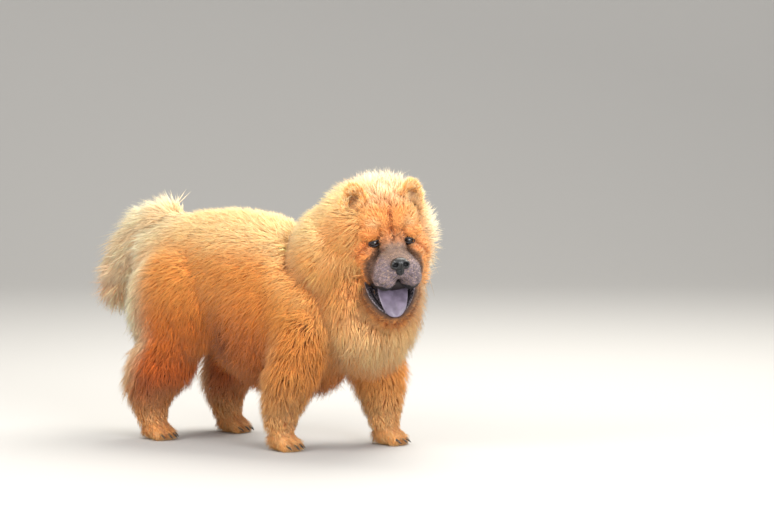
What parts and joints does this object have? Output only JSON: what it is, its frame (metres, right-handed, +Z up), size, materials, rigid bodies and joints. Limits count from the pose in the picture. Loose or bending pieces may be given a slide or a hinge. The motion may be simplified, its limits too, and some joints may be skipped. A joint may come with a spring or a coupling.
{
  "type": "chow chow dog, still life-size model",
  "caption": "Still, life-size red chow chow standing with its head turned and its mouth open, with a full mane, breeches and a plumed tail.",
  "frame": {"origin": "on the floor, under the middle of the model's bounding box", "axes": "+X forward along the body, +Y to the dog's left, +Z up from the soles"},
  "size_m": [0.9372, 0.3672, 0.6254],
  "materials": {
    "coat": "long plush orange-red fur, deeper red low on the flanks and thighs",
    "mane": "long stand-off fur, orange at the root and pale at the tips",
    "pale_coat": "long cream fur of the bib, the breeches' edge and the tail plume",
    "leg_coat": "short dense fawn fur of the feet",
    "muzzle_skin": "blue-grey skin under very short speckled fur",
    "lip_skin": "moist blue-black lip skin",
    "tongue_skin": "moist blue-lavender tongue",
    "nose_leather": "pebbled black nose leather, moist",
    "eye": "dark brown eye with a clear gloss",
    "claw": "dark horn, lightly worn at the tips"
  },
  "bodies": {
    "root": {"torso": "coat", "neck": "mane", "chest": "pale_coat", "head": "coat", "jaw": "lip_skin", "tongue": "tongue_skin", "nose": "nose_leather", "eye_left": "eye", "eye_right": "eye", "ear_left": "coat", "ear_right": "coat", "tail": "pale_coat", "foreleg_left": "coat", "forepaw_left": "leg_coat", "thigh_left": "coat", "shank_left": "coat", "hindpaw_left": "leg_coat", "foreleg_right": "coat", "forepaw_right": "leg_coat", "thigh_right": "coat", "shank_right": "coat", "hindpaw_right": "leg_coat"}
  },
  "joints": []
}
